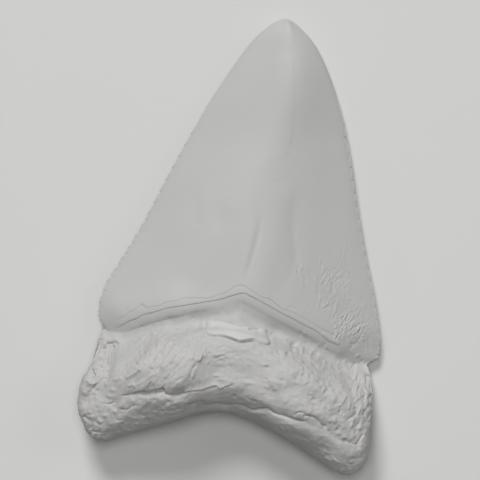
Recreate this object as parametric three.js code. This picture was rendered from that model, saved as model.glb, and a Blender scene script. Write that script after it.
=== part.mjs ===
// A fossil megalodon tooth, lying on its labial face, the one that faced the lips, with the lingual
// face up. Millimetres, +Z up. The tip points to +Y, and +X is to the right of someone who looks down
// on the lingual face. The origin is under the middle of the tooth, on the surface it lies on.
//
// The tooth is one closed skin: a lingual sheet above and a labial sheet below, which meet all the way
// round the outline. Each sheet is a set of rows that run from the left of the outline to its right.
// The first rows cross the crown, from the tip down to the enamel margin, and the others cross the
// root, down to the hollow margin between its two lobes.
import * as THREE from "three";

// Driving dimensions
const CREST_THICKNESS = 13.4; // crown, near the foot of its lingual ridge
const CREST_DIP = 0.6; // how far the ridge sinks at its foot
const TORUS_THICKNESS = 18.8; // root, at its thickest, in the middle
const LOBE_THICKNESS = { left: 14.0, right: 16.4 };
const TIP_LEVEL = 2.4; // height of the tip over the surface below
const EDGE_LEVEL = 3.4; // height of the cutting edges at their foot
const FLANK_LEVEL = 7.2; // height of the widest line round the root
const ENAMEL_STEP = 0.6; // drop from the enamel margin to the root
const STEP_WIDTH = 0.75; // the slope of that drop, seen from above
const HOLLOW_DEPTH = 0.55; // of the smooth band under the enamel margin
const LABIAL_HOLLOW = 1.2; // of the crown's lower face, at its foot
const ROOT_HOLLOW = 2.2; // of the root's lower face, between its lobes
const TIP_LIFT = 1.2; // of the lower face, towards the tip
const CROWN_FLAT = 0.3; // how far the crown's lower face is worn flat where it rests
const LOBE_FLAT = 1.2; // the same under each lobe
const RIM_WIDTH = 0.95; // thin rim along each cutting edge
const RIM_HEIGHT = { lingual: 0.35, labial: 0.3 };
const SERRATION_HEIGHT = 0.28;
const SERRATIONS_PER_ROW = 3;

const CROWN_ROWS = 28;
const ROOT_ROWS = 23;
const CROWN_COLUMNS = 30;
const ROOT_COLUMNS = 2 * CROWN_COLUMNS;
const STONE = { color: 0xb9b8b5, roughness: 0.8, metalness: 0 };

// The outline, as smooth curves through a few points of each stretch
const vector = ([x, y]) => new THREE.Vector2(x, y);
const curve = (...points) => new THREE.SplineCurve(points.map(vector));

const TIP = [13.3, 50.5];
const LEFT_FOOT = [-27.9, -16.6];
const RIGHT_FOOT = [32.7, -24.8];
const LEFT_NOTCH = [-27.1, -17.9];
const RIGHT_NOTCH = [30.7, -26.0];
const LEFT_LOBE = [-30.8, -41.3];
const RIGHT_LOBE = [29.5, -48.1];

const leftEdge = curve(
  TIP, [11.1, 49.7], [9.2, 48.5], [4.5, 44.1], [-3.1, 33.1], [-8.1, 24.2], [-12.9, 15.4], [-17.5, 6.6],
  [-20.0, 2.2], [-24.1, -4.4], [-26.8, -8.8], [-28.1, -13.2], LEFT_FOOT,
);
const rightEdge = curve(
  TIP, [15.8, 48.3], [19.4, 44.0], [22.5, 37.4], [25.1, 28.6], [26.7, 19.8], [27.9, 11.0],
  [29.1, 3.6], [30.1, -2.2], [31.5, -8.8], [32.6, -15.4], [33.2, -20.9], RIGHT_FOOT,
);
const leftFlank = curve(
  LEFT_NOTCH, [-28.4, -19.6], [-28.8, -22.0], [-30.2, -26.4], [-31.9, -28.6], [-33.2, -33.2],
  [-33.0, -36.0], LEFT_LOBE,
);
const rightFlank = curve(
  RIGHT_NOTCH, [31.4, -28.6], [31.6, -31.6], [31.4, -36.0], [31.3, -42.6], [30.6, -45.9], RIGHT_LOBE,
);
const basalMargin = curve(
  LEFT_LOBE, [-29.2, -42.6], [-27.4, -43.0], [-25.5, -42.5], [-22.4, -41.1], [-14.9, -39.3],
  [-5.2, -36.8], [-1.7, -36.5], [2.2, -37.1], [9.3, -40.4], [18.1, -45.9], [24.2, -50.0],
  [25.9, -50.6], [28.2, -49.8], RIGHT_LOBE,
);
// The enamel margin is a chevron on the lingual face, and a low arch on the labial one.
const margins = {
  lingual: [
    curve(LEFT_FOOT, [-25.9, -17.4], [-19.3, -15.6], [-14.9, -14.2], [-6.1, -12.2], [3.3, -9.9]),
    curve([3.3, -9.9], [6.0, -11.3], [12.6, -14.8], [20.3, -19.0], [27.5, -23.2], RIGHT_FOOT),
  ],
  labial: [
    curve(LEFT_FOOT, [-20.0, -16.4], [-8.0, -14.6], [2.6, -14.2]),
    curve([2.6, -14.2], [13.0, -16.4], [24.0, -21.0], RIGHT_FOOT),
  ],
};

// Relief of the root: lumps all over it, and on its lingual face cracks, folds and a thin raised flake
const LUMPS = [
  { size: new THREE.Vector3(6.5, 5.5, 6), height: 0.55 },
  { size: new THREE.Vector3(3.1, 2.6, 3), height: 0.35 },
];
const LUMPS_RISE = 0.12; // mean height that the lumps add
const CRACK = { halfWidth: 1.0, height: -0.8 };
const FOLD = { halfWidth: 1.1, height: 0.45 };
const FLAKE = { halfWidth: 1.3, ledge: 1.0, height: 0.6 };
const cracks = [
  curve([-24.3, -35.8], [-20.6, -32.6], [-14.9, -31.1], [-11.5, -32.1], [-5.0, -30.7], [1.6, -29.9]),
  curve([-8.1, -34.8], [3.5, -35.2], [8.8, -35.6], [16.5, -38.0], [21.4, -39.3], [26.7, -43.3]),
  curve([-25.9, -23.0], [-26.5, -28.3], [-30.8, -33.6]),
];
const folds = [
  curve([-8.6, -18.9], [-13.1, -24.6], [-18.8, -30.8]),
  curve([-4.1, -20.5], [-8.1, -26.2], [-10.9, -30.2]),
  curve([-14.2, -20.3], [-18.3, -25.5], [-22.7, -29.5]),
  curve([-3.0, -30.6], [8.0, -29.0], [17.3, -34.6]),
];
const flake = curve([-4.0, -17.5], [1.5, -18.0], [8.6, -19.7]);

const { lerp, smoothstep, clamp } = THREE.MathUtils;
const hump = (x, middle, spread) => Math.exp(-(((x - middle) / spread) ** 2));

// A lattice of scattered values from -1 to 1, the same on every run, and the smooth field between them
const SCATTER = new THREE.Vector3(127.1, 311.7, 74.7);
const SCATTER_GAIN = 43758.5453;

function latticeValue(place) {
  const v = Math.sin(place.dot(SCATTER)) * SCATTER_GAIN;
  return 2 * (v - Math.floor(v)) - 1;
}

function field(place) {
  const cell = place.clone().floor();
  const share = place.clone().sub(cell).toArray().map((v) => smoothstep(v, 0, 1));
  let sum = 0;
  for (let corner = 0; corner < 8; corner++) {
    const step = [corner & 1, (corner >> 1) & 1, corner >> 2];
    const weight = step.reduce((w, s, n) => w * (s ? share[n] : 1 - share[n]), 1);
    sum += weight * latticeValue(new THREE.Vector3(...step).add(cell));
  }
  return sum;
}

// The share of a row's width at which a column stands. The strips at its two ends are rims.
function columnShare(column, columns, rim) {
  if (column === 0 || column === columns) return column / columns;
  return lerp(rim, 1 - rim, (column - 1) / (columns - 2));
}

// A point of the enamel margin: share 0.5 is its apex, under the crown's ridge
function marginPoint(face, share) {
  const [left, right] = margins[face];
  return share < 0.5 ? left.getPointAt(2 * share) : right.getPointAt(2 * share - 1);
}

// Where the ridge runs, as a share of the crown's width: right of the middle near the tip, then left
// of it, and back to the middle at the enamel margin
function ridgeShare(down) {
  const leftwards = lerp(0.6, 0.465, smoothstep(down, 0.1, 0.7));
  return lerp(leftwards, 0.505, smoothstep(down, 0.7, 1));
}

// A point between the two cutting edges, with the ridge at share 0.5
function betweenEdges(share, down) {
  const ridge = ridgeShare(down);
  const across = share < 0.5 ? 2 * share * ridge : ridge + (2 * share - 1) * (1 - ridge);
  return leftEdge.getPointAt(down).lerp(rightEdge.getPointAt(down), across);
}

// A point of the crown's plan: down is 0 at the tip and 1 at the enamel margin
function crownPlan(face, share, down) {
  const bow = marginPoint(face, share).sub(betweenEdges(share, 1));
  return betweenEdges(share, down).addScaledVector(bow, down ** 2.2);
}

// A point of the root's plan, between its four sides: down is 0 at the foot of the enamel step and 1
// at the basal margin
function rootPlan(face, share, down) {
  const notches = vector(LEFT_NOTCH).lerp(vector(RIGHT_NOTCH), share);
  const feet = vector(LEFT_FOOT).lerp(vector(RIGHT_FOOT), share);
  const lobes = vector(LEFT_LOBE).lerp(vector(RIGHT_LOBE), share);
  const margin = marginPoint(face, share);
  const top = margin.clone().add(notches).sub(feet);
  top.y -= STEP_WIDTH * Math.min(1, 12 * share * (1 - share));
  if (share > 0 && share < 1) top.y = Math.min(top.y, margin.y - STEP_WIDTH / 2);
  const flanks = leftFlank.getPointAt(down).lerp(rightFlank.getPointAt(down), share);
  const corners = notches.lerp(lobes, down);
  return top.lerp(basalMargin.getPointAt(share), down).add(flanks).sub(corners);
}

// Sections. How far a point is from the ridge: 0 on it, and 1 on the outline
const fromRidge = (share) => Math.abs(2 * share - 1);
const edgeLevel = (down) => lerp(TIP_LEVEL, EDGE_LEVEL, down);
const flankLevel = (down) => lerp(EDGE_LEVEL, FLANK_LEVEL, smoothstep(down, 0, 0.3));
const arch = (share) => Math.sqrt(1 - fromRidge(share) ** 3.6);

// The crown is a roof whose ridge is tight at the tip and broad at the foot.
function roof(share, down) {
  const rounding = lerp(0.2, 0.42, down);
  const far = Math.hypot(1, rounding);
  return (far - Math.hypot(fromRidge(share), rounding)) / (far - rounding);
}

// The root's face turns towards the basal margin, later on the right, where the longer lobe is.
function basalTurn(share, down) {
  const turnsAt = lerp(0.42, 0.6, share);
  const past = clamp((down - turnsAt) / (1 - turnsAt), 0, 1);
  return Math.sqrt(1 - past ** 2.2);
}

function crownHeight(face, share, down) {
  const inwards = 1 - fromRidge(share);
  const rim = RIM_HEIGHT[face] * smoothstep(inwards, 0, 0.05) * smoothstep(down, 0, 0.1);
  if (face === "lingual") {
    const edge = edgeLevel(down) + rim;
    const crest = lerp(TIP_LEVEL, CREST_THICKNESS, down ** 0.62) - CREST_DIP * smoothstep(down, 0.75, 1);
    return lerp(edge, crest, roof(share, down));
  }
  const edge = edgeLevel(down) - rim;
  const hollow = LABIAL_HOLLOW * smoothstep(down, 0.5, 1);
  const lift = TIP_LIFT * (1 - smoothstep(down, 0, 0.3));
  return lerp(edge, hollow + lift - CROWN_FLAT, 1 - fromRidge(share) ** 2);
}

function rootHeight(face, share, down) {
  const level = flankLevel(down);
  const section = arch(share) * basalTurn(share, down);
  if (face === "lingual") {
    const lobe = share < 0.5 ? LOBE_THICKNESS.left : LOBE_THICKNESS.right;
    const thickest = lerp(TORUS_THICKNESS, lobe, smoothstep(fromRidge(share), 0.25, 0.9));
    const hollow = HOLLOW_DEPTH * hump(down, 0.13, 0.09) * arch(share);
    const stepped = crownHeight(face, share, 1) - ENAMEL_STEP * arch(share);
    return lerp(stepped, lerp(level, thickest, section), smoothstep(down, 0.04, 0.42)) - hollow;
  }
  const towardsLobe = smoothstep(fromRidge(share), 0.15, 0.7);
  const lowest = lerp(ROOT_HOLLOW, -LOBE_FLAT, towardsLobe);
  const stepped = crownHeight(face, share, 1) + ENAMEL_STEP;
  return lerp(stepped, lerp(level, lowest, section), smoothstep(down, 0, 0.6));
}

// The distance from a place to a line on the face, seen from above
function distanceTo(line, place) {
  line.samples ??= line.getSpacedPoints(60);
  return Math.min(...line.samples.map((p) => Math.hypot(p.x - place.x, p.y - place.y)));
}

// Relief at a place on the root, in millimetres outwards
function rootRelief(face, place, down) {
  const rough = smoothstep(down, 0.12, 0.32);
  let relief = rough * LUMPS_RISE;
  for (const { size, height } of LUMPS) relief += rough * height * field(place.clone().divide(size));
  if (face === "labial") return relief;

  for (const [lines, { halfWidth, height }] of [[cracks, CRACK], [folds, FOLD]]) {
    for (const line of lines) relief += height * hump(distanceTo(line, place), 0, halfWidth);
  }
  const past = distanceTo(flake, place) - FLAKE.halfWidth;
  return relief + FLAKE.height * (1 - smoothstep(past, 0, FLAKE.ledge));
}

// One row of a face, as its points
function crownRow(face, row) {
  const down = row / CROWN_ROWS;
  const width = leftEdge.getPointAt(down).distanceTo(rightEdge.getPointAt(down));
  const rim = Math.min(RIM_WIDTH / width, 1 / CROWN_COLUMNS);
  return Array.from({ length: CROWN_COLUMNS + 1 }, (_, column) => {
    const share = columnShare(column, CROWN_COLUMNS, rim);
    const { x, y } = crownPlan(face, share, down);
    const outer = column === 0 || column === CROWN_COLUMNS;
    const z = outer ? edgeLevel(down) : crownHeight(face, share, down);
    return { place: new THREE.Vector3(x, y, z) };
  });
}

// The root's rows crowd together at the enamel step and at the basal margin, and its columns at the
// flanks, so that all of these are round.
function rootRow(face, row) {
  const evenDown = row / ROOT_ROWS;
  const crowdedDown = lerp(evenDown, Math.sin((evenDown * Math.PI) / 2), 0.6 * evenDown);
  const down = row < 2 ? evenDown / 2 : crowdedDown;
  const round = smoothstep(down, 0, 0.2);
  const rim = lerp(0.5, 0.12, round) / ROOT_COLUMNS;
  return Array.from({ length: ROOT_COLUMNS + 1 }, (_, column) => {
    const evenShare = columnShare(column, ROOT_COLUMNS, rim);
    const crowdedShare = (1 - Math.cos(Math.PI * evenShare)) / 2;
    const share = lerp(evenShare, crowdedShare, 0.6 * round);
    const { x, y } = rootPlan(face, share, down);
    const outer = column === 0 || column === ROOT_COLUMNS || row === ROOT_ROWS;
    const z = outer ? flankLevel(down) : rootHeight(face, share, down);
    return { place: new THREE.Vector3(x, y, z), down, face };
  });
}

// The points of the skin and the triangles between them
class Skin {
  points = [];
  triangles = [];

  add(point) {
    return this.points.push(point) - 1;
  }

  addTriangle(a, b, c, flip) {
    if (a === b || b === c || a === c) return;
    this.triangles.push(...(flip ? [a, c, b] : [a, b, c]));
  }

  // Joins two lines of point numbers that run the same way, whatever their lengths
  join(upper, lower, flip) {
    const shareOf = (line, index) => (line.length > 1 ? index / (line.length - 1) : 1);
    let i = 0;
    let j = 0;
    while (i < upper.length - 1 || j < lower.length - 1) {
      const lowerIsDone = j === lower.length - 1;
      const upperIsBehind = i < upper.length - 1 && shareOf(upper, i + 1) <= shareOf(lower, j + 1);
      const alongUpper = lowerIsDone || upperIsBehind;
      this.addTriangle(upper[i], lower[j], alongUpper ? upper[i + 1] : lower[j + 1], flip);
      if (alongUpper) i++;
      else j++;
    }
  }

  geometry() {
    const places = this.points.flatMap(({ place }) => place.toArray());
    const geometry = new THREE.BufferGeometry();
    geometry.setAttribute("position", new THREE.Float32BufferAttribute(places, 3));
    geometry.setIndex(this.triangles);
    geometry.computeVertexNormals();
    return geometry;
  }
}

// The points of a cutting edge between two rows, with every second one pushed outwards: a serration
// grows from nothing near the tip to its full height half way down.
function addSerrations(skin, edge, row, outwards) {
  const steps = 2 * SERRATIONS_PER_ROW;
  return Array.from({ length: steps - 1 }, (_, index) => {
    const step = index + 1;
    const down = (row + step / steps) / CROWN_ROWS;
    const height = step % 2 ? SERRATION_HEIGHT * smoothstep(down, 0.05, 0.6) : 0;
    const along = edge.getTangentAt(down);
    const normal = new THREE.Vector2(-along.y, along.x);
    const { x, y } = edge.getPointAt(down).addScaledVector(normal, outwards * height);
    return skin.add({ place: new THREE.Vector3(x, y, edgeLevel(down)) });
  });
}

// The rows of a face as point numbers. The labial face takes the outline's points from the lingual one.
function addRows(skin, face, tip, outlineRows) {
  const rows = [];
  for (let row = 1; row <= CROWN_ROWS; row++) rows.push(crownRow(face, row));
  for (let row = 0; row <= ROOT_ROWS; row++) rows.push(rootRow(face, row));
  const numbers = rows.map((points, row) =>
    points.map((point, column) => {
      const onOutline = column === 0 || column === points.length - 1 || row === rows.length - 1;
      return outlineRows && onOutline ? outlineRows[row + 1][column] : skin.add(point);
    }),
  );
  return [[tip], ...numbers];
}

// The strips along the two cutting edges are joined to the serrations, and all else row to row.
function joinRows(skin, rows, serrations, flip) {
  rows.slice(0, -1).forEach((upper, row) => {
    const lower = rows[row + 1];
    if (row >= CROWN_ROWS) {
      skin.join(upper, lower, flip);
      return;
    }
    const inner = upper.length > 1 ? upper.slice(1, -1) : upper;
    const { left, right } = serrations[row];
    skin.join(inner, lower.slice(1, -1), flip);
    skin.join([inner[0], lower[1]], [upper[0], ...left, lower[0]], flip);
    skin.join([inner.at(-1), lower.at(-2)], [upper.at(-1), ...right, lower.at(-1)], !flip);
  });
}

function buildSkin() {
  const skin = new Skin();
  const tip = skin.add({ place: new THREE.Vector3(...TIP, TIP_LEVEL) });
  const lingual = addRows(skin, "lingual", tip);
  const labial = addRows(skin, "labial", tip, lingual);
  const serrations = Array.from({ length: CROWN_ROWS }, (_, row) => ({
    left: addSerrations(skin, leftEdge, row, -1),
    right: addSerrations(skin, rightEdge, row, 1),
  }));
  joinRows(skin, lingual, serrations, false);
  joinRows(skin, labial, serrations, true);
  return skin;
}

// The relief moves each point of the root along its normal, and what would reach below the resting
// plane is flat on it: the labial face of the crown, and a small facet under each lobe.
function buildTooth() {
  const skin = buildSkin();
  const normals = skin.geometry().getAttribute("normal");
  const normal = new THREE.Vector3();
  skin.points.forEach(({ place, down, face }, number) => {
    normal.fromBufferAttribute(normals, number);
    if (face) place.addScaledVector(normal, rootRelief(face, place, down));
    place.z = Math.max(0, place.z);
  });
  return skin.geometry();
}

const tooth = new THREE.Mesh(buildTooth(), new THREE.MeshStandardMaterial(STONE));
tooth.name = "tooth";

const fossil = new THREE.Group();
fossil.add(tooth);

export default fossil;
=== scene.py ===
"""The looks of a fossil megalodon tooth, lying with its lingual face up.

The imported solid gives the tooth's size and main shapes. Here its skin is copied, made fine enough to
hold small relief, and then carved: the serrations, the enamel margin, the plate, cracks and ridges of the
root, its porous grain, and the faint wrinkles of the enamel. All lengths are in metres but for those of
the photograph, which are in pixels, and those of the carved() and dotted() marks, in millimetres.
"""

import logging
import math
from collections.abc import Iterator
from contextlib import contextmanager
from dataclasses import dataclass
from enum import Enum

import bpy
import numpy as np
from mathutils import Euler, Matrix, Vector


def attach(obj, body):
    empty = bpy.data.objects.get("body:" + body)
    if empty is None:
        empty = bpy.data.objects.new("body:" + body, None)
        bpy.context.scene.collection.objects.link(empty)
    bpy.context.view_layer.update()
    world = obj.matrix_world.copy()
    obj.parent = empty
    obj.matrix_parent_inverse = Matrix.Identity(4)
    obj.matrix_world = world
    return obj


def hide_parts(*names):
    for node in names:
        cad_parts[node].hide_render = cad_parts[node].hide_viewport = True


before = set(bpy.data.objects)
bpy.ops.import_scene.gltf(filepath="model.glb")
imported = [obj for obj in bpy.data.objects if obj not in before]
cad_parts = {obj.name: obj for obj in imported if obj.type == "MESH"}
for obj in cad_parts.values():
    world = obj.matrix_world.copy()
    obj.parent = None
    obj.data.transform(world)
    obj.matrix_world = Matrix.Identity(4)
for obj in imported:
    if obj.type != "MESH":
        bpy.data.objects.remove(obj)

log = logging.getLogger("fossil_tooth")

MM = 0.001
NODE = "tooth"
WEIGHT_STEPS = 4000
LEDGE_SOFTNESS = 0.09 * MM
STEP_WIDTH = 1.9 * MM
# A stroke reaches this many of its half widths away from its line
STROKE_REACH = 3
SHARPNESS = 1.6
# The share of a fine stroke's length over which each end fades, and the half width of broad ones, in mm
END_SHARE = 0.12
BROAD = 0.9
DOT_HALF_LENGTH = 0.6
DOT_FALL = 0.3
NOISE_ROUGHNESS = 0.6
# How far up the skin has to face to count as lingual, and to be carved
LINGUAL = (-0.05, 0.25)
CARVED = (0.05, 0.25)

Pixels = tuple[tuple[float, float], ...]
Colour = tuple[float, float, float]
Size = tuple[float, float, float]
Range = tuple[float, float]
Socket = bpy.types.NodeSocket


def millimetres(*lengths: float) -> tuple[float, ...]:
    """Turns millimetres into metres."""
    return tuple(length * MM for length in lengths)


@dataclass(frozen=True)
class Photograph:
    """How a pixel of the photograph stands for a place in the frame's plan."""

    size: int = 480
    pixel: float = 0.22 * MM
    origin: tuple[float, float] = (227.8, 246.2)

    def places(self, pixels: Pixels) -> np.ndarray:
        """Gives the places in plan of some pixels.

        Args:
            pixels: columns and rows of the photograph.

        Returns:
            One row of x and y for each pixel, in metres.
        """
        across, down = np.array(pixels, float).T
        x = (across - self.origin[0]) * self.pixel
        y = (self.origin[1] - down) * self.pixel
        return np.column_stack([x, y])

    def pixels(self, places: np.ndarray) -> np.ndarray:
        """Gives the columns and rows of the photograph at some places."""
        x, y = places[:, :2].T
        return np.array([x / self.pixel + self.origin[0], self.origin[1] - y / self.pixel])

    @property
    def middle(self) -> tuple[float, float]:
        """The place in plan at the middle of the photograph."""
        x, y = self.places(((self.size / 2, self.size / 2),))[0]
        return float(x), float(y)

    @property
    def width(self) -> float:
        """The width that the photograph takes in."""
        return self.size * self.pixel


PHOTO = Photograph()


def smoothstep(value: np.ndarray, low: float, high: float) -> np.ndarray:
    """Rises smoothly from 0 at low to 1 at high, or falls where high is under low."""
    share = np.clip((value - low) / (high - low), 0, 1)
    return share * share * (3 - 2 * share)


def between(value: np.ndarray, low: float, high: float, soft: float) -> np.ndarray:
    """1 between low and high, falling to 0 over a soft border outside them."""
    return smoothstep(value, low - soft, low) * smoothstep(value, high + soft, high)


def rounded_path(corners: np.ndarray, pieces: int = 6) -> np.ndarray:
    """Draws a smooth line through some corners.

    Args:
        corners: places in plan.
        pieces: short straight pieces from one corner to the next.

    Returns:
        The places along the line, the corners among them.
    """
    padded = np.vstack([2 * corners[0] - corners[1], corners, 2 * corners[-1] - corners[-2]])
    t = np.linspace(0, 1, pieces, endpoint=False)[:, None]
    path = []
    for before, start, end, after in zip(padded, padded[1:], padded[2:], padded[3:]):
        slope = (end - before) / 2
        slope_after = (after - start) / 2
        rise = end - start
        path.append(start + t * slope + t**2 * (3 * rise - 2 * slope - slope_after)
                    + t**3 * (slope + slope_after - 2 * rise))
    return np.vstack([*path, corners[-1:]])


def distance_to_path(points: np.ndarray, path: np.ndarray) -> tuple[np.ndarray, np.ndarray]:
    """Measures how far points are from a line in plan, and on which side of it.

    Args:
        points: places in plan.
        path: places along the line.

    Returns:
        The distance of each point, below 0 to the right of the way the line runs, and how far along
        the line its nearest place is, as a share of the line's length.
    """
    best = np.full(len(points), np.inf)
    side = np.ones(len(points))
    share = np.zeros(len(points))
    lengths = np.linalg.norm(np.diff(path, axis=0), axis=1)
    travelled = np.concatenate([[0], np.cumsum(lengths)])
    for start, end, length, before in zip(path, path[1:], lengths, travelled):
        along = end - start
        t = np.clip((points - start) @ along / length**2, 0, 1)
        gap = points - (start + t[:, None] * along)
        distance = np.hypot(gap[:, 0], gap[:, 1])
        nearer = distance < best
        cross = along[0] * gap[:, 1] - along[1] * gap[:, 0]
        best = np.where(nearer, distance, best)
        side = np.where(nearer, np.where(cross < 0, -1, 1), side)
        share = np.where(nearer, (before + t * length) / travelled[-1], share)
    return best * side, share


class Profile(Enum):
    """The section of a stroke across its line. A ledge or a ramp lies only to the left of its line."""

    ROUND = "round"
    SHARP = "sharp"
    LEDGE = "ledge"
    RAMP = "ramp"


BANKS = {Profile.LEDGE: (-LEDGE_SOFTNESS, LEDGE_SOFTNESS), Profile.RAMP: (0, STEP_WIDTH)}


@dataclass(frozen=True)
class Stroke:
    """One mark of the carving tool: a line in the photograph, a width and a height.

    A height below 0 cuts, and one above 0 raises.
    """

    line: Pixels
    half_width: float
    height: float
    profile: Profile = Profile.ROUND
    taper: float = END_SHARE

    def relief(self, points: np.ndarray) -> np.ndarray:
        """Works out how far the stroke moves each point.

        Args:
            points: places in plan.

        Returns:
            The height at each point.
        """
        path = rounded_path(PHOTO.places(self.line))
        reach = STROKE_REACH * self.half_width
        near = np.all((points > path.min(0) - reach) & (points < path.max(0) + reach), axis=1)
        moved = np.zeros(len(points))
        if not near.any():
            return moved
        offset, share = distance_to_path(points[near], path)
        distance = np.abs(offset) / self.half_width
        if self.profile is Profile.SHARP:
            section = np.exp(-SHARPNESS * distance)
        else:
            section = np.exp(-(distance**2))
        if self.profile in BANKS:
            section = section * smoothstep(offset, *BANKS[self.profile])
        ends = smoothstep(share, 0, self.taper) * smoothstep(share, 1, 1 - self.taper)
        moved[near] = self.height * section * (ends if self.taper else 1)
        return moved


@dataclass(frozen=True)
class Swell:
    """A broad gain or loss of thickness, as a share of it, over some rows and columns of the photograph.

    It sets in over the rows of rise and the columns of across, and ends over the rows of fall.
    """

    share: float
    rise: Range
    fall: Range
    across: Range

    def relief(self, column: np.ndarray, row: np.ndarray, z: np.ndarray) -> np.ndarray:
        """Works out how far the swell lifts each point."""
        along = smoothstep(row, *self.rise) * smoothstep(row, *self.fall)
        return self.share * z * along * smoothstep(column, *self.across)


SWELLS = (
    Swell(0.16, (245, 385), (481, 480), (225, 160)),
    Swell(-0.26, (325, 362), (374, 362), (335, 362)),
    Swell(0.28, (150, 40), (-1, 0), (-1, 0)),
    Swell(0.16, (150, 40), (-1, 0), (262, 318)),
    Swell(0.16, (54, 22), (-1, 0), (-1, 0)),
    Swell(-0.055, (322, 346), (425, 352), (330, 270)),
    Swell(0.055, (322, 346), (425, 352), (210, 150)),
)


@dataclass(frozen=True)
class Window:
    """Some columns of the photograph and, where they are given, some rows of it.

    Both are written as their first, their last and the width of the soft border outside them.
    """

    columns: tuple[float, float, float]
    rows: tuple[float, float, float] | None = None

    def share(self, column: np.ndarray, row: np.ndarray) -> np.ndarray:
        """Works out how far each point lies in the window, from 0 to 1."""
        inside = between(column, *self.columns)
        return inside * between(row, *self.rows) if self.rows else inside


FIBRES = Window((128, 186, 18))
LAYERS = Window((200, 268, 18))
PEBBLES = Window((290, 480, 35))
RIGHT_FLANK = Window((350, 480, 14))
LEFT_FLANK = Window((0, 104, 8))
SMOOTH_LEFT = Window((112, 130, 8), (340, 370, 6))
WRINKLES_SHOWN = Window((300, 345, 16), (250, 345, 40))
CORNER = Window((340, 368, 10), (310, 338, 10))
# The share of the swells and of the fibres that the smooth patch at the left goes without
SMOOTH_FROM_SWELLS = 0.7
SMOOTH_FROM_FIBRES = 0.8
BASAL_LINE = ((90, 419), (150, 408), (190, 403), (240, 404), (290, 415), (330, 436))


@dataclass(frozen=True)
class Borders:
    """How softly the zones set in, in pixels, and over which height above the floor, in metres."""

    root: float = 5
    plate: float = 1
    basal: Range = (-3, 4)
    enamel: Range = (-6, -2)
    band: Range = (0, 1)
    resting: float = 1.2 * MM


BORDERS = Borders()


class Grain(Enum):
    """The kinds of small relief that cover a zone."""

    LUMPS = "lumps"
    PEBBLES = "pebbles"


class Zone(Enum):
    """The parts of the tooth's skin that have a relief of their own."""

    ROOT = "root"
    FIBROUS = "fibrous"
    LAYERED = "layered"
    PEBBLED = "pebbled"
    KNOBBLY = "knobbly"
    LEFT_FLANK = "left_flank"
    BASAL = "basal"
    LABIAL_ROOT = "labial_root"
    STONE = "stone"
    BAND = "band"
    PLATE = "plate"
    WRINKLED = "wrinkled"
    SWIRLED = "swirled"


@dataclass(frozen=True)
class Texture:
    """Small relief that repeats over a zone.

    The grain is stretched to size in its own directions, which are turned by turn degrees about the
    upright.
    """

    name: str
    zone: Zone
    grain: Grain
    size: Size
    height: float
    turn: float = 0.0
    octaves: int = 1

    def make(self) -> bpy.types.Texture:
        """Makes the texture for a Displace modifier.

        Returns:
            The texture.
        """
        if self.grain is Grain.LUMPS:
            made = bpy.data.textures.new(self.name, "CLOUDS")
            made.noise_basis = "IMPROVED_PERLIN"
            made.noise_depth = self.octaves
        else:
            made = bpy.data.textures.new(self.name, "VORONOI")
            made.distance_metric = "DISTANCE"
        made.noise_scale = 1.0
        return made


TEXTURES = (
    Texture("swells", Zone.ROOT, Grain.LUMPS, millimetres(3.6, 3.0, 3.6), 0.36 * MM, octaves=2),
    Texture("fibres", Zone.FIBROUS, Grain.LUMPS, millimetres(0.8, 2.8, 1.2), 0.36 * MM, -31, 2),
    Texture("layers", Zone.LAYERED, Grain.LUMPS, millimetres(2.6, 0.9, 1.2), 0.15 * MM, 8, 2),
    Texture("pebbles", Zone.PEBBLED, Grain.PEBBLES, millimetres(1.7, 1.5, 1.4), -0.11 * MM),
    Texture("lumps", Zone.PEBBLED, Grain.LUMPS, millimetres(2.0, 1.6, 2.0), 0.30 * MM),
    Texture("crumbs", Zone.PEBBLED, Grain.LUMPS, millimetres(0.9, 0.8, 0.9), 0.10 * MM, octaves=2),
    Texture("knobs", Zone.KNOBBLY, Grain.LUMPS, millimetres(0.8, 2.2, 1.2), 0.32 * MM, -14, 2),
    Texture("flank_knobs", Zone.LEFT_FLANK, Grain.LUMPS, millimetres(1.4, 0.9, 1.1), 0.28 * MM),
    Texture("basal_grain", Zone.BASAL, Grain.LUMPS, millimetres(2.2, 0.8, 0.9), 0.22 * MM, -10, 2),
    Texture("labial_grain", Zone.LABIAL_ROOT, Grain.LUMPS, millimetres(1.8, 1.8, 1.8), 0.45 * MM),
)


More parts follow.
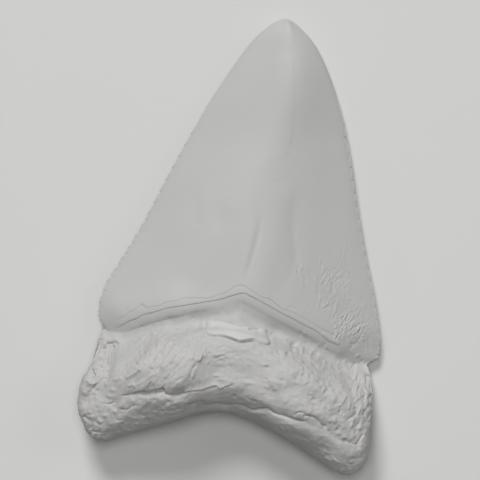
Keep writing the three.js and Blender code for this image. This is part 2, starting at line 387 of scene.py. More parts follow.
@dataclass(frozen=True)
class Margins:
    """The lines at which the enamel ends, on both faces, and the depth of the smooth band under it.

    The feet are where the cutting edges end.
    """

    lingual: Pixels = (
        (98, 323), (111, 328), (118, 326.5), (124, 323.8), (130, 320.5), (136, 318.6), (142, 315.2),
        (148, 313.2), (154, 311.8), (160, 310), (166, 308), (172, 306.8), (184, 305), (196, 303),
        (208, 301), (220, 299), (232, 295.2), (238, 293.6), (244, 292.6), (250, 295.6), (256, 298.3),
        (262, 301.8), (268, 305), (280, 311.8), (292, 318), (304, 324.6), (316, 330.6), (322, 335.6),
        (328, 340.6), (340, 346.2), (352, 351.5), (380, 361),
    )
    fine_line: Pixels = (
        (112, 319.6), (118, 318.8), (124, 316.4), (130, 311.8), (136, 309), (142, 304.6), (148, 307),
        (154, 306), (160, 305), (166, 302.4), (172, 301), (178, 300), (184, 298), (196, 297.4),
        (208, 297.6), (220, 294), (226, 292), (232, 288), (238, 285), (244, 285.6), (250, 289.2),
        (256, 293), (262, 297), (270, 299), (280, 307.6), (288, 310), (298, 314.6), (310, 321.6),
        (322, 328.6), (334, 334.6), (346, 342.6),
    )
    labial: Pixels = (
        (95, 323), (140, 320.7), (191, 312.5), (240, 310.7), (287, 320.7), (337, 341.6), (380, 361),
    )
    band_depth: Pixels = (
        (100, 3), (112, 9), (130, 13), (200, 17), (240, 27), (280, 18), (330, 15), (352, 9), (380, 5),
    )
    left_foot: tuple[float, float] = (101, 326)
    right_foot: tuple[float, float] = (374, 361.8)

    def below(self, x: np.ndarray, y: np.ndarray, faces_up: np.ndarray) -> np.ndarray:
        """How far places in plan lie on the root's side of their face's margin.

        Args:
            x: places from left to right.
            y: places towards the tip.
            faces_up: True where the skin is on the lingual face.

        Returns:
            The distance along y, below 0 on the enamel.
        """
        lingual = PHOTO.places(self.lingual)
        labial = PHOTO.places(self.labial)
        margin = np.where(faces_up, np.interp(x, *lingual.T), np.interp(x, *labial.T))
        return margin - y


MARGINS = Margins()


def carved(
    height: float, half_width: float, *lines: Pixels, profile: Profile = Profile.ROUND
) -> tuple[Stroke, ...]:
    """Makes strokes that are alike but for their lines.

    Args:
        height: in millimetres.
        half_width: in millimetres.
        lines: where each stroke runs.
        profile: the section of them all.

    Returns:
        The strokes.
    """
    taper = 0 if half_width > BROAD else END_SHARE
    return tuple(Stroke(line, half_width * MM, height * MM, profile, taper) for line in lines)


def dotted(height: float, half_width: float, *dots: tuple[float, float]) -> tuple[Stroke, ...]:
    """Makes short strokes: pits where the height is below 0, and knobs where it is above.

    Args:
        height: in millimetres.
        half_width: in millimetres.
        dots: the middle of each.

    Returns:
        The strokes.
    """
    lines = (((x - DOT_HALF_LENGTH, y), (x + DOT_HALF_LENGTH, y + DOT_FALL)) for x, y in dots)
    return tuple(Stroke(line, half_width * MM, height * MM, taper=0) for line in lines)


@dataclass(frozen=True)
class Scatter:
    """Many small strokes strewn along a line, some raised and some cut.

    Lengths are in pixels, widths and heights in millimetres, and turns in degrees.
    """

    line: Pixels
    reach: float
    count: int
    length: Range
    half_width: Range
    height: float
    turn: float
    spread: float
    seed: int
    bend: float = 0.3
    lowest: float = 0.4
    taper: float = 0.3

    def strokes(self) -> tuple[Stroke, ...]:
        """Strews the strokes.

        Returns:
            The strokes, with the same chance every time.
        """
        chance = np.random.default_rng(self.seed)
        path = rounded_path(np.array(self.line, float), 20)
        strewn = []
        for _ in range(self.count):
            away = chance.uniform(-self.reach, self.reach, 2)
            middle = path[chance.integers(len(path))] + away
            turn = math.radians(chance.normal(self.turn, self.spread))
            half = np.array([math.cos(turn), -math.sin(turn)]) * chance.uniform(*self.length) / 2
            bend = np.array([half[1], -half[0]]) * chance.uniform(-self.bend, self.bend)
            line = tuple(map(tuple, (middle - half, middle + bend, middle + half)))
            height = self.height * chance.uniform(self.lowest, 1) * chance.choice((-1, 1))
            half_width = chance.uniform(*self.half_width)
            strewn.append(Stroke(line, half_width * MM, height * MM, taper=self.taper))
        return tuple(strewn)


# The enamel margin of the lingual face: a ledge, a finer ledge above it and a hollow below it
MARGIN_FORMS = (
    *carved(
        -0.46, 1.7,
        ((176, 327), (200, 323), (222, 323), (244, 326), (262, 329), (280, 333), (300, 341),
         (320, 350), (340, 358)),
    ),
    *carved(-0.85, 1.9, ((199, 320), (212, 321), (230, 323), (250, 326.5), (272, 333))),
    Stroke(MARGINS.lingual[-2:0:-1], 3.0 * MM, 0.36 * MM, Profile.RAMP, 0.05),
)
MARGIN_MARKS = (
    Stroke(MARGINS.lingual[-3:1:-1], 0.34 * MM, -0.06 * MM, Profile.LEDGE, 0.05),
    Stroke(MARGINS.lingual[1:-2], 1.2 * MM, 0.09 * MM, Profile.LEDGE, 0.05),
    Stroke(MARGINS.fine_line, 2.6 * MM, 0.08 * MM, Profile.LEDGE, 0.05),
    Stroke(MARGINS.fine_line, 0.16 * MM, -0.035 * MM, Profile.SHARP, 0.05),
    *carved(
        -0.10, 0.20, ((139.6, 308.6), (141.6, 304.2), (143.8, 307)), ((125.6, 307), (125.8, 312)),
        ((266, 297.4), (274, 303), (282, 309.6)), ((286, 308.4), (291, 306.4), (297, 309.6)),
        profile=Profile.SHARP,
    ),
    *carved(-0.11, 0.34, ((349, 349.6), (353, 346), (358, 341.6)), ((350.4, 344.6), (354, 343.4))),
    *carved(-0.08, 0.30, ((365, 340), (365.4, 351)), ((369, 336), (369.4, 352))),
    *carved(0.14, 0.32, ((321, 332.6), (330, 338.4), (340, 344.4)), ((355.5, 357.3), (360, 354.5))),
)
# The crown's broad forms, the two folds above the margin's point, and the few marks on its face
CROWN_FORMS = (
    *carved(0.90, 3.8, ((122, 311), (149, 307.5), (174, 302))),
    *carved(-0.26, 3.2, ((226, 226), (222, 258), (214, 288))),
    *carved(0.24, 3.0, ((279, 200), (274, 240), (262, 280))),
    *carved(-0.08, 1.4, ((195, 204), (195, 222)), ((219, 206), (217, 222)), ((296, 200), (295, 260))),
    Stroke(
        ((233, 286), (243, 272), (248, 250), (252, 232), (256, 205)), 0.70 * MM, 0.12 * MM, taper=0.4
    ),
    Stroke(
        ((242, 284), (250, 264), (255, 248), (259, 232), (261, 205)), 0.62 * MM, -0.15 * MM, taper=0.35
    ),
    Stroke(
        ((293, 190), (291, 222), (296, 256), (290, 274), (272, 297)), 0.9 * MM, -0.09 * MM, taper=0.35
    ),
    Stroke(((288, -40), (290, 20), (292, 80), (291, 140)), 2.4 * MM, -0.35 * MM, taper=0.5),
    Stroke(
        ((286, 166), (291, 140), (294, 110), (293, 60), (291, 26)), 3.4 * MM, 0.04 * MM, Profile.LEDGE
    ),
    Stroke(
        ((205.5, 117.5), (221.5, 89.5), (239.5, 63.5), (261.5, 37.5), (279.5, 25.5)),
        0.14 * MM, -0.06 * MM, Profile.SHARP,
    ),
    *dotted(-0.06, 0.30, (288, 147), (287, 157), (295, 166), (279, 182), (310, 272)),
)
# Short marks in the smooth band below the margin
DASHES = (
    *carved(
        -0.09, 0.24, ((185, 310), (185.2, 315.5)), ((221.6, 306), (222, 312)),
        ((226.8, 311.6), (227.2, 316)), ((236.6, 305.4), (237, 313)), ((245, 309.4), (245.4, 313.6)),
        ((204.8, 310), (205.2, 316)), ((153.6, 324), (152.8, 327.6)), ((161, 322), (160.4, 326)),
        ((140.6, 325.6), (144, 327.4)),
    ),
    *carved(-0.10, 0.6, ((217, 312.4), (217.4, 317)), ((170, 316), (169, 322))),
    *dotted(-0.12, 0.26, (193.6, 317.4)),
)
# The plate on the root: it stands out over its lower edge and slopes down towards its upper one
FLAKE = Window((205, 271, 2))
FLAKE_EDGE = (
    (202.4, 332), (210, 334.4), (222, 335), (229, 336.4), (236, 338.8), (241, 340.2), (251, 339),
    (256, 340.4), (261, 342.6), (267, 343.2), (271.6, 341),
)
FLAKE_TOP = (
    (204.8, 320), (215, 320.4), (226.4, 321.8), (236.4, 325.6), (248, 326.6), (257, 327.8), (269, 329),
)
FLAKE_MARKS = (
    Stroke(FLAKE_EDGE, 2.2 * MM, 0.56 * MM, Profile.LEDGE, 0.08),
    Stroke(FLAKE_EDGE[3:-1], 2.0 * MM, 0.10 * MM, Profile.LEDGE, 0.3),
    Stroke(tuple((x, y + 1.0) for x, y in FLAKE_EDGE), 0.24 * MM, -0.36 * MM, Profile.SHARP, 0.1),
    Stroke(FLAKE_TOP[::-1], 1.3 * MM, 0.42 * MM, Profile.LEDGE, 0.08),
    *carved(-0.50, 0.22, ((247.6, 329.8), (253, 330), (259.4, 330.4))),
    *dotted(-0.16, 0.30, (272.8, 333)),
)
# The long cracks of the torus, the cracks near the lobes, and the low ridges beside them
CRACKS = (
    Stroke(
        ((184, 390.6), (190, 388.6), (200, 387.7), (205, 386.4), (215.5, 383.6), (220, 386.4),
         (227, 383.8), (233.8, 382.2)),
        0.7 * MM, 0.30 * MM, Profile.LEDGE, 0.08,
    ),
    *carved(-0.85, 0.44, ((141, 391.4), (150, 391.8), (158, 389.6), (167, 387.6))),
    *carved(
        -0.50, 0.34, ((122, 394.4), (133, 392.7), (140.5, 391), (148, 391.8)),
        ((163, 387), (166.4, 391.6), (173, 393), (180, 392.4), (187, 390)), profile=Profile.SHARP,
    ),
    *carved(
        -0.30, 0.24, ((102, 402.4), (111.4, 402.4), (114, 401), (119.6, 401.6)),
        ((120.4, 407.2), (127.6, 407.8), (133.2, 404.6), (139.6, 402.6)),
        ((160, 409), (168, 408.7), (176, 408.4), (181, 406)), profile=Profile.SHARP,
    ),
    *carved(
        -0.56, 0.32, ((185.4, 403.8), (191, 402.7), (199, 401), (205, 400.4)),
        ((204, 403.4), (212.7, 402.6), (220, 402.8), (227.3, 404.5), (235, 403.6), (242.7, 404.6),
         (251.8, 408.4), (258, 407.3), (267.3, 406.8), (273.6, 411), (284.5, 414), (293.6, 417.4),
         (301, 419), (308, 419)),
        ((301, 415.6), (306, 413.8), (312, 414.8), (315.5, 416.8), (321, 422.3), (326.4, 425.6)),
        profile=Profile.SHARP,
    ),
    *carved(
        -0.34, 0.28, ((293, 414), (296.4, 410.4), (302, 410.6), (306, 413.8)),
        ((325, 424.4), (330, 431.4), (336.4, 436.8), (343.6, 439), (351, 441.8), (355, 445.4)),
        ((109.4, 372.6), (109.6, 377), (104, 377.6), (99.5, 382.3), (95, 386.4), (91, 391),
         (88.4, 398)), profile=Profile.SHARP,
    ),
    *carved(
        0.07, 0.34, ((138.6, 395.8), (151.8, 395.6), (160, 393.8), (167, 395.4), (173.6, 396.6)),
        ((173.6, 396.6), (186.4, 393.8), (191, 391.2), (204.5, 389)),
        ((191, 405.6), (199, 404.4), (213.6, 405.6), (228, 407)),
        ((230, 407), (241.8, 407.6), (252.7, 411.4), (268.2, 410), (275.5, 414), (290, 419.4)),
        ((306, 421), (314, 421.4), (322, 426)),
    ),
)
# The torus of the root, which is fuller towards its lower edge than the solid's
ROOT_FORMS = (
    *carved(0.30, 3.0, ((184, 397), (205, 399), (245, 400), (275, 404), (305, 414))),
    *carved(0.60, 1.5, ((190, 390), (205, 387), (220, 385), (238, 383))),
    *carved(0.56, 1.0, ((117, 409), (125, 402), (132, 396))),
    *carved(0.85, 1.5, ((105, 340), (110, 340.5), (114, 340.5))),
    *carved(-0.20, 1.2, ((94, 386), (103, 395)), ((266, 388), (277, 402))),
    *carved(-0.42, 2.0, ((218, 369), (240, 373), (262, 376))),
    *carved(0.20, 0.60, ((270, 380), (279, 391), (286, 402)), ((146, 396), (156, 394.6), (166, 398))),
    *carved(-0.16, 1.0, ((280, 425), (291, 430)), ((332, 446), (341, 456))),
)
# Ridges, grooves, knobs and pits of the root, from the left to the right
ROOT_LINES = (
    *carved(
        -0.60, 0.25, ((98.6, 347.6), (103, 348.2), (107, 347.6)),
        ((95.6, 356.4), (102, 357.2), (108, 356.4)), ((102, 365), (107, 365.6)),
        ((91.6, 368), (95.6, 374.8)), ((104.4, 369.4), (109.4, 371)),
    ),
    *carved(-0.34, 0.25, ((106.8, 348.6), (109.6, 352.6), (110.4, 358), (109.5, 365))),
    *dotted(-0.50, 0.28, (108.5, 343.8), (112, 343.6), (114.6, 342), (117, 343.4), (113, 346.5)),
    *carved(
        -0.32, 0.27, ((84, 414.4), (89.6, 419.2)), ((92, 430), (97, 431), (101.6, 430)),
        ((103, 435.4), (110.6, 432.8)),
    ),
    *carved(
        0.26, 0.33, ((99, 353.2), (106, 352.4)), ((95, 361.4), (105, 361)),
        ((94, 367.4), (100, 367.8)), ((115, 379), (123, 376)),
        ((127, 377), (135, 371.8), (142.4, 366.2)), ((88, 379), (92, 383)),
    ),
    *carved(
        0.20, 0.30, ((175.5, 334.4), (167.3, 345.5), (162.8, 353)), ((160, 354.6), (152.6, 367.4)),
        ((181, 338.6), (181.4, 348.2)), ((184.6, 343.4), (183.6, 352)), ((189, 338.8), (186.4, 349.4)),
        ((165.6, 357.8), (163, 366)), ((148, 361), (140, 369)), ((199.6, 340), (196, 350)),
        ((170.6, 369.6), (166, 376)), ((176, 352), (171.6, 362)), ((156, 371), (148, 377), (139, 383)),
        ((195, 366), (193, 376)), ((204, 352), (198, 360)), ((129, 385), (136, 381)),
    ),
    *carved(
        -0.20, 0.27, ((174.4, 341), (168.2, 351), (164, 355)),
        ((164.6, 354), (161.6, 363), (157, 370)),
        ((194, 349.4), (186.4, 354.6), (179, 363.6), (171.6, 373)), ((180, 365.4), (175.4, 374.6)),
        ((183.8, 374.4), (177.2, 379.2)), ((209, 338.2), (204.6, 339.6), (203.6, 347.3), (201, 351.4)),
        ((150.4, 369), (143, 377), (133, 383)), ((197, 362), (192.6, 370), (190.4, 378)),
    ),
    *carved(
        -0.10, 0.25, ((217.7, 347.7), (224.5, 344.5), (228.2, 347.7)), ((246, 353.6), (254.6, 353.7)),
        ((212.7, 358.2), (221.8, 354.8), (228, 357.7), (235.6, 359)),
        ((261, 353), (270, 352.6), (276.6, 352)), ((297, 360.4), (302, 361), (308, 362.8)),
        ((287.6, 370.2), (292.8, 368)), ((225.4, 359), (232.6, 369)),
        ((232.7, 379), (240, 376.6), (250, 377), (256.4, 379)), ((208, 364.6), (212.7, 359.4)),
        ((245.4, 394.4), (251, 399)),
    ),
    *carved(
        0.15, 0.29, ((215.4, 354.3), (221.8, 352.3), (226, 353.6)), ((212.6, 373.4), (225.6, 374)),
        ((217.2, 377.4), (229, 378.2)), ((240, 348.2), (248.4, 348.2)), ((243.6, 380.6), (257, 381.4)),
        ((309, 355.6), (314.6, 349)), ((307, 356), (313, 360), (320, 358.4)),
        ((263.4, 384), (270.4, 385.6)), ((261.8, 378.2), (272.7, 379), (280, 382.7)),
        ((296, 366), (303, 367)), ((337, 364.8), (340.4, 359.8)), ((343.4, 364), (346.4, 359.4)),
        ((301, 346.6), (301.6, 354)),
    ),
    *carved(
        -0.26, 0.29, ((350, 370.4), (353, 366.2), (356.6, 362.6)), ((362.6, 397), (365.6, 390.4)),
        ((363.6, 407.6), (363.6, 415.4)), ((362.8, 432), (359, 437.8), (354.4, 444.2)),
        ((367, 370), (367, 390)), ((356.6, 412.2), (350, 416), (345.4, 419.6)),
        ((358.6, 398), (354, 404.6)), ((340, 404), (338.6, 412)),
    ),
    *carved(
        0.20, 0.31, ((360, 403.6), (358, 410.4)), ((349, 402), (347, 410)), ((353, 416), (350, 426)),
        ((366, 398), (366, 406)), ((361, 418), (358, 428)), ((345.4, 394), (341, 401)),
    ),
    *dotted(
        0.20, 0.40, (142.3, 337.3), (159.6, 341), (159.2, 343.6), (153.2, 332.8), (192.7, 356.4),
        (199, 357.4), (197.7, 332.4), (202.2, 329.6), (205.6, 336), (176.4, 359.6), (107.6, 382.6),
        (114, 388.2), (106, 413.6), (94, 415.6), (102.4, 420), (85, 391), (110.6, 394.4),
        (172.8, 328.4), (178.4, 329.2), (339, 395.6), (362.6, 392.8), (337.2, 431.6), (343.4, 434.8),
        (302, 348.4), (106.4, 359), (95.2, 363.6),
    ),
    *dotted(
        -0.28, 0.34, (267.3, 366), (302.2, 373.4), (231, 382.6), (325.6, 390), (334.6, 389),
        (312.6, 397.4), (351.8, 377.8), (358.2, 388.2), (351, 389), (336.6, 427.6), (339, 425),
        (287.6, 352.4), (292.8, 349.6), (278.6, 350.6), (352.8, 456.8), (344, 438.8), (233.6, 394),
        (241, 398.2), (253.6, 399), (281.8, 377.8), (266, 377.8), (123.4, 422.8), (158, 414.6),
        (148.6, 417.8), (293.6, 431.8), (284.6, 431.8),
    ),
    *dotted(-0.55, 0.55, (293.6, 343.4)),
)
# The wrinkles of the enamel at the lower right, in loose clusters
WRINKLES = (
    Scatter(((298, 262), (302, 286)), 6, 26, (4, 9), (0.12, 0.16), 0.07, 96, 10, 31),
    Scatter(((326, 274), (346, 282)), 8, 70, (3, 7), (0.12, 0.16), 0.07, 62, 14, 32),
    Scatter(((318, 276), (321, 300)), 5, 22, (4, 9), (0.12, 0.16), 0.06, 88, 8, 33),
    Scatter(((334, 282), (336, 326)), 2, 16, (8, 16), (0.13, 0.17), 0.09, 88, 4, 34),
    Scatter(((320, 306), (328, 302)), 7, 30, (3, 7), (0.12, 0.17), 0.08, 52, 12, 35),
    Scatter(((338, 332), (348, 324), (357, 330)), 9, 120, (4, 9), (0.13, 0.18), 0.10, 58, 9, 36),
    Scatter(((350, 302), (362, 306)), 6, 14, (2, 4), (0.15, 0.20), 0.09, 40, 30, 37),
    Scatter(((362, 326), (366, 332)), 6, 24, (3, 6), (0.14, 0.18), 0.07, 20, 14, 38),
)
# Small relief that no single line of the photograph shows, strewn by chance
SCATTERS = (
    Scatter(((206, 334), (176, 352), (140, 382)), 17, 110, (5, 13), (0.22, 0.38), 0.14, 60, 12, 11),
    Scatter(((136, 350), (152, 360)), 13, 50, (2, 5), (0.20, 0.36), 0.14, 40, 40, 12),
    Scatter(((104, 345), (99, 360), (88, 392)), 8, 36, (3, 7), (0.22, 0.38), 0.24, 10, 25, 13),
    Scatter(((92, 404), (108, 424), (100, 432)), 18, 80, (3, 8), (0.30, 0.60), 0.13, 20, 50, 14),
    Scatter(((208, 350), (270, 350)), 14, 60, (4, 12), (0.20, 0.34), 0.10, -2, 16, 15),
    Scatter(((215, 372), (262, 392)), 15, 50, (3, 10), (0.24, 0.36), 0.09, -6, 25, 16),
    Scatter(((290, 352), (312, 368), (340, 392)), 22, 110, (3, 9), (0.28, 0.55), 0.14, 20, 50, 17),
    Scatter(((320, 400), (344, 416)), 17, 60, (3, 8), (0.26, 0.50), 0.13, 60, 40, 18),
    Scatter(((358, 368), (362, 400), (358, 446)), 9, 90, (4, 10), (0.24, 0.36), 0.18, 74, 14, 19),
    Scatter(
        ((120, 426), (160, 412), (200, 406), (262, 414)), 6, 90, (3, 11), (0.22, 0.34), 0.12, 8, 10, 20
    ),
    Scatter(((280, 428), (320, 450), (346, 470)), 8, 60, (3, 10), (0.22, 0.36), 0.11, -38, 16, 21),
    Scatter(((110, 400), (150, 402), (180, 400)), 6, 40, (3, 10), (0.24, 0.38), 0.11, 12, 14, 22),
)


@dataclass
class NodeBench:
    """Adds nodes to a material's tree and joins them."""

    tree: bpy.types.ShaderNodeTree

    def add(self, kind: str, *sources: Socket | float | None) -> bpy.types.Node:
        """Adds a node.

        Args:
            kind: the node's type.
            sources: what its first inputs take, in order: a socket, a number, or nothing.

        Returns:
            The node.
        """
        node = self.tree.nodes.new(kind)
        for entry, source in zip(node.inputs, sources):
            if isinstance(source, Socket):
                self.tree.links.new(source, entry)
            elif source is not None:
                entry.default_value = source
        return node

    def share(self, name: str) -> Socket:
        """Reads one of the mesh's own numbers at each point of the skin.

        Args:
            name: the attribute's name.

        Returns:
            The number's socket.
        """
        node = self.add("ShaderNodeAttribute")
        node.attribute_name = name
        return node.outputs["Fac"]

    def noise(self, size: Size, detail: float, turn: float = 0.0) -> Socket:
        """Adds noise on the piece's own places.

        Args:
            size: the lumps' size along each axis.
            detail: how many finer layers it has.
            turn: how far its axes are turned about the upright, in degrees.

        Returns:
            The noise, from 0 to 1.
        """
        place = self.add("ShaderNodeTexCoord").outputs["Object"]
        turned = self.add("ShaderNodeMapping", place)
        turned.inputs["Rotation"].default_value = (0, 0, math.radians(-turn))
        stretched = self.add("ShaderNodeMapping", turned.outputs[0])
        stretched.inputs["Scale"].default_value = [1 / length for length in size]
        made = self.add("ShaderNodeTexNoise", stretched.outputs[0])
        made.inputs["Scale"].default_value = 1.0
        made.inputs["Detail"].default_value = detail
        made.inputs["Roughness"].default_value = NOISE_ROUGHNESS
        return made.outputs[0]

    def spread(self, value: Socket, taken: Range, given: Range) -> Socket:
        """Maps one range of values onto another."""
        return self.add("ShaderNodeMapRange", value, *taken, *given).outputs[0]

    def times(self, first: Socket, second: Socket) -> Socket:
        """Multiplies two values.

        Args:
            first: one value.
            second: the other.

        Returns:
            Their product.
        """
        node = self.add("ShaderNodeMath", first, second)
        node.operation = "MULTIPLY"
        return node.outputs[0]

    def mixed(self, share: Socket, first: Socket, second: Socket) -> Socket:
        """Goes from one value to another as the share goes from 0 to 1."""
        return self.add("ShaderNodeMix", share, None, first, second).outputs[0]

    def tinted(self, share: Socket, first: Colour | Socket, second: Colour) -> Socket:
        """Goes from one colour to another.

        Args:
            share: how much of the second colour there is, from 0 to 1.
            first: the colour at 0, or the socket that gives it.
            second: the colour at 1.

        Returns:
            The mixed colour.
        """
        node = self.add("ShaderNodeMix", share)
        node.data_type = "RGBA"
        if isinstance(first, Socket):
            self.tree.links.new(first, node.inputs[6])
        else:
            node.inputs[6].default_value = (*first, 1)
        node.inputs[7].default_value = (*second, 1)
        return node.outputs[2]

    def shaded(self, colour: Socket, amount: Socket) -> Socket:
        """Makes a colour lighter or darker.

        Args:
            colour: the colour.
            amount: what it is multiplied by.

        Returns:
            The shaded colour.
        """
        node = self.add("ShaderNodeMix", 1.0)
        node.data_type = "RGBA"
        node.blend_type = "MULTIPLY"
        self.tree.links.new(colour, node.inputs[6])
        self.tree.links.new(amount, node.inputs[7])
        return node.outputs[2]

    def bump(self, height: Socket, distance: float, under: Socket | None = None) -> Socket:
        """Makes small relief out of heights.

        Args:
            height: from 0 to 1.
            distance: how high 1 stands.
            under: the relief that it lies on, if any.

        Returns:
            The normals of the relief.
        """
        node = self.add("ShaderNodeBump")
        node.inputs["Distance"].default_value = distance
        self.tree.links.new(height, node.inputs["Height"])
        if under:
            self.tree.links.new(under, node.inputs["Normal"])
        return node.outputs[0]


@dataclass(frozen=True)
class StoneFinish:
    """Pale grey fossil stone: enamel with fine wrinkles, and a rougher root of uneven tone, with painted
    shade darkening the band under the enamel margin and painted light brightening the plate on the root.
    """

    name: str = "fossil_stone"
    enamel: Colour = (0.455, 0.455, 0.450)
    root: Colour = (0.462, 0.458, 0.448)
    # The band's darker colour is painted shade, where the band turns away from the light
    band: Colour = (0.425, 0.424, 0.418)
    # The plate's lighter colour is painted light, where the plate faces up towards the light
    plate: Colour = (0.520, 0.518, 0.510)
    enamel_mottle: Range = (0.985, 1.015)
    root_mottle: Range = (0.93, 1.05)
    enamel_roughness: Range = (0.60, 0.72)
    root_roughness: Range = (0.80, 0.95)
    patch_size: Size = millimetres(7, 7, 7)
    grain_size: Size = millimetres(0.9, 0.9, 0.9)
    wrinkle_size: Size = millimetres(0.46, 1.5, 2.0)
    cluster_size: Size = millimetres(3.2, 4.0, 4.0)
    patch_detail: float = 4
    grain_detail: float = 5
    line_detail: float = 2
    middle: Range = (0.3, 0.7)
    wrinkle_levels: Range = (0.48, 0.64)
    cluster_levels: Range = (0.46, 0.60)
    wrinkle_turn: float = -6
    swirl_turn: float = -32
    grain: float = 0.09 * MM
    wrinkle: float = 0.05 * MM

    def make(self) -> bpy.types.Material:
        """Builds the material's nodes.

        Returns:
            The material.
        """
        made = bpy.data.materials.new(self.name)
        made.use_nodes = True
        bench = NodeBench(made.node_tree)
        shader = made.node_tree.nodes["Principled BSDF"]
        root = bench.share("root_share")
        patches = bench.noise(self.patch_size, self.patch_detail)
        grain = bench.noise(self.grain_size, self.grain_detail)
        mottle, roughness = (
            bench.mixed(
                root,
                bench.spread(patches, self.middle, on_enamel),
                bench.spread(grain, self.middle, on_root),
            )
            for on_enamel, on_root in (
                (self.enamel_mottle, self.root_mottle), (self.enamel_roughness, self.root_roughness)
            )
        )
        colour = bench.tinted(root, self.enamel, self.root)
        # Painted shade darkens the band under the margin, and painted light brightens the plate
        for name, tone in (("band_painted_shade", self.band), ("plate_painted_light", self.plate)):
            colour = bench.tinted(bench.share(name), colour, tone)
        colour = bench.shaded(colour, mottle)
        relief = bench.bump(bench.times(grain, root), self.grain)
        clusters = bench.noise(self.cluster_size, self.line_detail)
        clusters = bench.spread(clusters, self.cluster_levels, (0, 1))
        wrinkled = bench.times(bench.share("wrinkle_share"), clusters)
        swirled = bench.share("swirl_share")
        for strength, turn in ((wrinkled, self.wrinkle_turn), (swirled, self.swirl_turn)):
            lines = bench.noise(self.wrinkle_size, self.line_detail, turn)
            lines = bench.spread(lines, self.wrinkle_levels, (0, 1))
            relief = bench.bump(bench.times(lines, strength), self.wrinkle, relief)
        made.node_tree.links.new(colour, shader.inputs["Base Color"])
        made.node_tree.links.new(roughness, shader.inputs["Roughness"])
        made.node_tree.links.new(relief, shader.inputs["Normal"])
        return made


